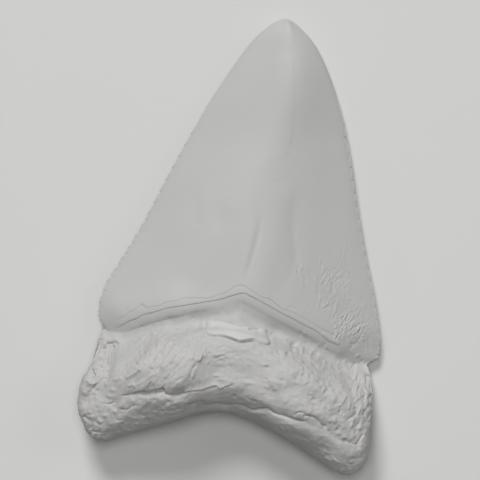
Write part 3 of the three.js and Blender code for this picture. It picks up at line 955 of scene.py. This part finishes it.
@dataclass
class Tooth:
    """The fossil tooth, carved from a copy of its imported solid."""

    subdivisions: int = 3
    most_triangles: int = 194_000
    merge_distance: float = 0.001 * MM
    face_threshold: float = math.radians(60)
    shape_threshold: float = math.radians(80)
    polish_rounds: int = 30
    polish_factor: float = 0.5
    polish_border: Range = (-0.8 * MM, -2.0 * MM)
    margin_reaches: tuple[float, float] = (2.5 * MM, 0.7 * MM)
    margin_facing: float = 0.1
    wrinkled_corners: Pixels = ((286, 352), (374, 252))
    wrinkled_facing: float = 0.5
    wrinkled_border: float = -2.5 * MM
    serration_pitch: float = 0.93 * MM
    serration_gain: float = 2.6
    serration_height: float = 0.2 * MM
    first_serration: tuple[float, float] = (285, 70)
    first_full_serration: tuple[float, float] = (285, 130)
    finish: StoneFinish = StoneFinish()

    def build(self) -> bpy.types.Object:
        """Makes the tooth in its finish.

        Returns:
            The finished piece.
        """
        self.copy_solid()
        self.sharpen_edges()
        self.refine()
        self.polish_enamel()
        for reach in self.margin_reaches:
            self.refine_margin(reach)
        self.refine_wrinkles()
        self.serrate()
        self.carve()
        self.thin()
        self.mark_edges()
        self.dress()
        return self.piece

    def copy_solid(self) -> None:
        """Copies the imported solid's mesh into a new piece, with its points merged."""
        deselect_all()
        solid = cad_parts[NODE]
        self.piece = bpy.data.objects.new("fossil_tooth", solid.data.copy())
        self.piece.data.materials.clear()
        bpy.context.scene.collection.objects.link(self.piece)
        self.piece.select_set(True)
        bpy.context.view_layer.objects.active = self.piece
        with editing():
            bpy.ops.mesh.select_all(action="SELECT")
            bpy.ops.mesh.remove_doubles(threshold=self.merge_distance)
            bpy.ops.mesh.customdata_custom_splitnormals_clear()
            bpy.ops.mesh.normals_make_consistent(inside=False)
            bpy.ops.mesh.tris_convert_to_quads(
                face_threshold=self.face_threshold, shape_threshold=self.shape_threshold
            )
        bpy.ops.object.shade_smooth()

    def find_edges(self) -> np.ndarray:
        """Finds the cutting edges, where the two faces of the crown meet.

        Returns:
            True for each of the mesh's edges that lies on them.
        """
        mesh = self.piece.data
        _, facing = self.faces()
        sizes = numbers(mesh.polygons, "loop_total", 1, int)[:, 0]
        borders = numbers(mesh.loops, "edge_index", 1, int)[:, 0]
        upward = np.repeat(facing[:, 2] > 0, sizes)
        faces_up = np.bincount(borders[upward], minlength=len(mesh.edges))
        places, _ = self.skin()
        middles = places[self.edge_ends()].mean(1)
        left_foot, right_foot = PHOTO.places((MARGINS.left_foot, MARGINS.right_foot))[:, 1]
        return (faces_up == 1) & (middles[:, 1] > np.where(middles[:, 0] < 0, left_foot, right_foot))

    def edge_ends(self) -> np.ndarray:
        """Reads the numbers of the two points of each edge."""
        return numbers(self.piece.data.edges, "vertices", 2, int)

    def find_edge_points(self) -> np.ndarray:
        """Finds the numbers of the points on the cutting edges."""
        return np.unique(self.edge_ends()[self.find_edges()])

    def sharpen_edges(self) -> None:
        """Creases the cutting edges."""
        self.select_edges()
        with editing():
            bpy.ops.transform.edge_crease(value=1)

    def mark_edges(self) -> None:
        """Keeps the shading of the crown's two faces apart at the cutting edges."""
        self.select_edges()
        with editing():
            bpy.ops.mesh.mark_sharp()

    def select_edges(self) -> None:
        """Selects the cutting edges and nothing else."""
        chosen = self.find_edges()
        select_nothing(self.piece.data)
        bpy.context.tool_settings.mesh_select_mode = (False, True, False)
        self.piece.data.edges.foreach_set("select", chosen)
        log.info("the cutting edges have %d pieces", chosen.sum())

    def refine(self) -> None:
        """Subdivides the skin until it can hold the relief."""
        modifier = self.add_modifier("SUBSURF")
        modifier.levels = self.subdivisions
        modifier.render_levels = self.subdivisions
        self.apply(modifier)
        log.info("refined to %d faces", len(self.piece.data.polygons))

    def polish_enamel(self) -> None:
        """Smooths the crown's faces, up to the cutting edges but not over them."""
        places, facing = self.skin()
        x, y, _ = places.T
        enamel = smoothstep(MARGINS.below(x, y, facing[:, 2] > 0), *self.polish_border)
        enamel[self.find_edge_points()] = 0
        modifier = self.add_modifier("SMOOTH", enamel)
        modifier.factor = self.polish_factor
        modifier.iterations = self.polish_rounds
        self.apply(modifier)

    def serrate(self) -> None:
        """Brings out the serrations of the cutting edges."""
        members = self.find_edge_points()
        places, _ = self.skin()
        relief = np.zeros(len(places))
        (crest, start), (_, full) = PHOTO.places((self.first_serration, self.first_full_serration))
        for outwards in (-1, 1):
            side = members[(places[members, 0] - crest) * outwards > 0]
            side = side[np.argsort(places[side, 1])]
            x, y, _ = places[side].T
            even = [x[np.abs(y - level) < self.serration_pitch / 2].mean() for level in y]
            height = (x - np.array(even)) * outwards * self.serration_gain
            relief[side] = np.clip(height, 0, self.serration_height) * smoothstep(y, start, full)
        self.displace(relief)

    def refine_margin(self, reach: float) -> None:
        """Cuts the faces along the enamel margin once more.

        Args:
            reach: how far the finer skin goes, to either side of the margin and of the fine line.
        """
        middles, facing = self.faces()
        x, y, _ = middles.T
        near = np.zeros(len(x), bool)
        for line in (MARGINS.lingual, MARGINS.fine_line):
            near |= np.abs(y - np.interp(x, *PHOTO.places(line).T)) < reach
        self.refine_faces(near & (facing[:, 2] > self.margin_facing))

    def refine_wrinkles(self) -> None:
        """Cuts the faces of the wrinkled enamel once more."""
        middles, facing = self.faces()
        low, high = PHOTO.places(self.wrinkled_corners)
        inside = np.all((middles[:, :2] > low) & (middles[:, :2] < high), axis=1)
        below = MARGINS.below(middles[:, 0], middles[:, 1], facing[:, 2] > 0)
        upward = facing[:, 2] > self.wrinkled_facing
        self.refine_faces(inside & upward & (below < self.wrinkled_border))

    def refine_faces(self, chosen: np.ndarray) -> None:
        """Cuts some faces in four.

        Args:
            chosen: True for each face to cut.
        """
        mesh = self.piece.data
        select_nothing(mesh)
        mesh.polygons.foreach_set("select", chosen)
        bpy.context.tool_settings.mesh_select_mode = (False, False, True)
        with editing():
            bpy.ops.mesh.subdivide(number_cuts=1)
        log.info("refined %d faces, %d in all", chosen.sum(), len(mesh.polygons))

    def carve(self) -> None:
        """Carves the relief: broad forms first, then the grain of each zone, and the lines last."""
        self.swell()
        self.move_out(CROWN_FORMS + ROOT_FORMS + MARGIN_FORMS)
        zones = self.find_zones()
        for texture in TEXTURES:
            self.press(texture, zones[texture.zone])
        for scatter in SCATTERS + WRINKLES:
            self.move_out(scatter.strokes())
        self.move_out(ROOT_LINES + DASHES)
        self.move_out(FLAKE_MARKS + CRACKS)
        self.move_out(MARGIN_MARKS)

    def faces(self) -> tuple[np.ndarray, np.ndarray]:
        """Reads the piece's faces.

        Returns:
            The middle of each, and the direction in which it faces.
        """
        polygons = self.piece.data.polygons
        return numbers(polygons, "center"), numbers(polygons, "normal")

    def skin(self) -> tuple[np.ndarray, np.ndarray]:
        """Reads the piece's points.

        Returns:
            The place of each, and the direction in which the skin faces there.
        """
        mesh = self.piece.data
        return numbers(mesh.vertices, "co"), numbers(mesh.vertex_normals, "vector")

    def find_zones(self) -> dict[Zone, np.ndarray]:
        """Works out where the skin's zones lie.

        Returns:
            How far each point belongs to each zone, from 0 to 1.
        """
        places, facing = self.skin()
        x, y, z = places.T
        column, row = PHOTO.pixels(places)
        lingual = smoothstep(facing[:, 2], *LINGUAL)
        below = MARGINS.below(x, y, facing[:, 2] > 0) / PHOTO.pixel
        band = np.interp(column, *np.array(MARGINS.band_depth).T) * lingual
        root = smoothstep(below, band, band + BORDERS.root)
        rough = root * smoothstep(z, 0, BORDERS.resting)
        top = np.interp(column, *np.array(FLAKE_TOP).T)
        foot = np.interp(column, *np.array(FLAKE_EDGE).T)
        plate = FLAKE.share(column, row) * between(row, top, foot, BORDERS.plate) * lingual
        clear = 1 - plate
        root_up = rough * lingual * clear
        basal = smoothstep(row - np.interp(column, *np.array(BASAL_LINE).T), *BORDERS.basal)
        flank_right, flank_left, smooth_left, corner, wrinkled, fibres, layers, pebbles = (
            window.share(column, row)
            for window in (
                RIGHT_FLANK, LEFT_FLANK, SMOOTH_LEFT, CORNER, WRINKLES_SHOWN, FIBRES, LAYERS, PEBBLES
            )
        )
        enamel = (1 - smoothstep(below, *BORDERS.enamel)) * lingual
        return {
            Zone.ROOT: rough * clear * (1 - SMOOTH_FROM_SWELLS * smooth_left * lingual),
            Zone.FIBROUS: root_up * fibres * (1 - basal) * (1 - SMOOTH_FROM_FIBRES * smooth_left),
            Zone.LAYERED: root_up * layers * (1 - basal),
            Zone.PEBBLED: root_up * pebbles * (1 - flank_right) * (1 - basal),
            Zone.KNOBBLY: rough * flank_right,
            Zone.LEFT_FLANK: rough * flank_left,
            Zone.BASAL: root_up * basal,
            Zone.LABIAL_ROOT: rough * (1 - lingual),
            Zone.STONE: root * clear,
            # The band's share, which carries its painted shade in the finish
            Zone.BAND: smoothstep(below, *BORDERS.band) * (1 - root) * lingual,
            # The plate's share, which carries its painted light in the finish
            Zone.PLATE: plate,
            Zone.WRINKLED: enamel * wrinkled * (1 - corner),
            Zone.SWIRLED: enamel * corner,
        }

    def press(self, texture: Texture, weights: np.ndarray) -> None:
        """Presses a texture into the skin.

        Args:
            texture: the relief.
            weights: how strongly each point takes it, from 0 to 1.
        """
        guide = bpy.data.objects.new("texture_guide", None)
        guide.rotation_euler = Euler((0, 0, math.radians(texture.turn)))
        guide.scale = texture.size
        bpy.context.scene.collection.objects.link(guide)
        bpy.context.view_layer.update()
        modifier = self.add_modifier("DISPLACE", weights)
        modifier.texture = texture.make()
        modifier.texture_coords = "OBJECT"
        modifier.texture_coords_object = guide
        modifier.mid_level = 0.5
        modifier.strength = texture.height
        self.apply(modifier)
        bpy.data.objects.remove(guide)

    def swell(self) -> None:
        """Gives the tooth its broad gains and losses of thickness."""
        places, _ = self.skin()
        column, row = PHOTO.pixels(places)
        self.displace(sum(swell.relief(column, row, places[:, 2]) for swell in SWELLS), "Z")

    def move_out(self, strokes: tuple[Stroke, ...]) -> None:
        """Carves strokes into the lingual face.

        Args:
            strokes: the marks, in any order.
        """
        places, facing = self.skin()
        lingual = smoothstep(facing[:, 2], *CARVED)
        chosen = np.flatnonzero(lingual)
        relief = np.zeros(len(places))
        relief[chosen] = sum(stroke.relief(places[chosen, :2]) for stroke in strokes)
        self.displace(relief * lingual)

    def displace(self, relief: np.ndarray, direction: str = "NORMAL") -> None:
        """Moves each point of the skin.

        Args:
            relief: how far each point goes.
            direction: the modifier's name for the way it goes.
        """
        for sign in (1, -1):
            amount = np.maximum(sign * relief, 0)
            most = float(amount.max())
            if most == 0:
                continue
            modifier = self.add_modifier("DISPLACE", amount / most)
            modifier.direction = direction
            modifier.mid_level = 0
            modifier.strength = sign * most
            self.apply(modifier)

    def weigh(self, weights: np.ndarray) -> bpy.types.VertexGroup:
        """Makes a vertex group with a weight for each point.

        Args:
            weights: one number from 0 to 1 for each point.

        Returns:
            The group.
        """
        group = self.piece.vertex_groups.new(name="weights")
        steps = np.round(weights * WEIGHT_STEPS).astype(int)
        order = np.argsort(steps, kind="stable")
        levels, starts = np.unique(steps[order], return_index=True)
        for level, members in zip(levels, np.split(order, starts[1:])):
            if level > 0:
                group.add(members.tolist(), level / WEIGHT_STEPS, "REPLACE")
        return group

    def thin(self) -> None:
        """Thins the mesh where it is smooth."""
        mesh = self.piece.data
        triangles = sum(len(polygon.vertices) - 2 for polygon in mesh.polygons)
        if triangles > self.most_triangles:
            modifier = self.add_modifier("DECIMATE")
            modifier.ratio = self.most_triangles / triangles
            self.apply(modifier)
        log.info("thinned from %d to %d faces", triangles, len(mesh.polygons))

    def add_modifier(self, kind: str, weights: np.ndarray | None = None) -> bpy.types.Modifier:
        """Adds a modifier to the piece.

        Args:
            kind: the modifier's type.
            weights: how strongly it moves each point, from 0 to 1, unless all are alike.

        Returns:
            The modifier.
        """
        bpy.ops.object.modifier_add(type=kind)
        modifier = self.piece.modifiers[-1]
        if weights is not None:
            modifier.vertex_group = self.weigh(weights).name
        return modifier

    def apply(self, modifier: bpy.types.Modifier) -> None:
        """Applies a modifier of the piece and clears its weights."""
        bpy.ops.object.modifier_apply(modifier=modifier.name)
        self.piece.vertex_groups.clear()

    def dress(self) -> None:
        """Gives the piece its finish, and the shares that the finish reads at each point."""
        zones = self.find_zones()
        # The band's share carries painted shade, and the plate's share painted light
        for name, zone in (
            ("root_share", Zone.STONE), ("band_painted_shade", Zone.BAND), ("plate_painted_light", Zone.PLATE),
            ("wrinkle_share", Zone.WRINKLED), ("swirl_share", Zone.SWIRLED),
        ):
            self.piece.data.attributes.new(name, "FLOAT", "POINT").data.foreach_set("value", zones[zone])
        self.piece.data.materials.append(self.finish.make())
        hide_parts(NODE)
        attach(self.piece, "root")


def deselect_all() -> None:
    """Deselects every object."""
    bpy.ops.object.select_all(action="DESELECT")


@contextmanager
def editing() -> Iterator[None]:
    """Opens the active piece for editing, and closes it afterwards."""
    bpy.ops.object.mode_set(mode="EDIT")
    yield
    bpy.ops.object.mode_set(mode="OBJECT")


def numbers(
    parts: bpy.types.bpy_prop_collection, name: str, width: int = 3, kind: type = float
) -> np.ndarray:
    """Reads one property of all of a mesh's points, edges, corners or faces.

    Args:
        parts: the points, edges, corners or faces.
        name: the property.
        width: how many numbers each part has.
        kind: what the numbers are.

    Returns:
        One row for each part.
    """
    found = np.zeros(len(parts) * width, kind)
    parts.foreach_get(name, found)
    return found.reshape(-1, width)


def select_nothing(mesh: bpy.types.Mesh) -> None:
    """Deselects all of a mesh's points, edges and faces."""
    for parts in (mesh.vertices, mesh.edges, mesh.polygons):
        parts.foreach_set("select", [False] * len(parts))


@dataclass(frozen=True)
class Lamp:
    """A round soft light that hangs in some direction from the tooth and shines on it."""

    name: str
    direction: tuple[float, float, float]
    distance: float
    size: float
    power: float

    def hang(self) -> None:
        """Hangs the light."""
        direction = Vector(self.direction).normalized()
        bpy.ops.object.light_add(type="AREA", location=direction * self.distance)
        made = bpy.context.object
        made.name = self.name
        made.rotation_euler = direction.to_track_quat("Z", "Y").to_euler()
        made.data.shape = "DISK"
        made.data.size = self.size
        made.data.energy = self.power


@dataclass
class Studio:
    """A pale floor, soft light from the upper left, and a camera that looks straight down."""

    floor_size: float = 12.0
    floor_colour: Colour = (0.62, 0.62, 0.615)
    floor_roughness: float = 0.9
    lens: float = 300.0
    sensor: float = 36.0
    outline_level: float = 5 * MM
    farthest: float = 20.0
    lamps: tuple[Lamp, ...] = (
        Lamp("key", (-0.18, 0.71, 0.68), 2.4, 0.80, 39.0),
        Lamp("overhead", (0.0, 0.1, 1.0), 2.9, 1.35, 35.0),
        Lamp("fill", (0.75, 0.25, 0.61), 2.6, 1.20, 5.0),
    )
    world_strength: float = 0.06

    def build(self) -> None:
        """Sets up the studio."""
        self.lay_floor()
        self.light()
        self.set_camera()

    def lay_floor(self) -> None:
        """Lays the floor under the tooth."""
        deselect_all()
        bpy.ops.mesh.primitive_plane_add(size=self.floor_size, location=(0, 0, 0))
        floor = bpy.context.object
        floor.name = "floor"
        made = bpy.data.materials.new("pale_floor")
        made.use_nodes = True
        shader = made.node_tree.nodes["Principled BSDF"]
        shader.inputs["Base Color"].default_value = (*self.floor_colour, 1)
        shader.inputs["Roughness"].default_value = self.floor_roughness
        floor.data.materials.append(made)

    def light(self) -> None:
        """Hangs the lamps and sets the even light of the room."""
        for lamp in self.lamps:
            lamp.hang()
        world = bpy.data.worlds.new("room")
        world.use_nodes = True
        world.node_tree.nodes["Background"].inputs["Color"].default_value = (1, 1, 1, 1)
        world.node_tree.nodes["Background"].inputs["Strength"].default_value = self.world_strength
        bpy.context.scene.world = world
        bpy.context.scene.view_settings.view_transform = "Standard"

    def set_camera(self) -> None:
        """Sets the camera over the middle of the photograph."""
        x, y = PHOTO.middle
        distance = PHOTO.width * self.lens / self.sensor
        bpy.ops.object.camera_add(location=(x, y, self.outline_level + distance), rotation=(0, 0, 0))
        camera = bpy.context.object
        camera.name = "camera"
        camera.data.lens = self.lens
        camera.data.sensor_width = self.sensor
        camera.data.clip_end = self.farthest
        bpy.context.scene.camera = camera


def main() -> None:
    """Builds the tooth and the studio."""
    logging.basicConfig(level=logging.INFO, format="%(message)s")
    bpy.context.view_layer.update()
    Studio().build()
    piece = Tooth().build()
    log.info("%s: %d faces", piece.name, len(piece.data.polygons))


if __name__ == "__main__":
    main()
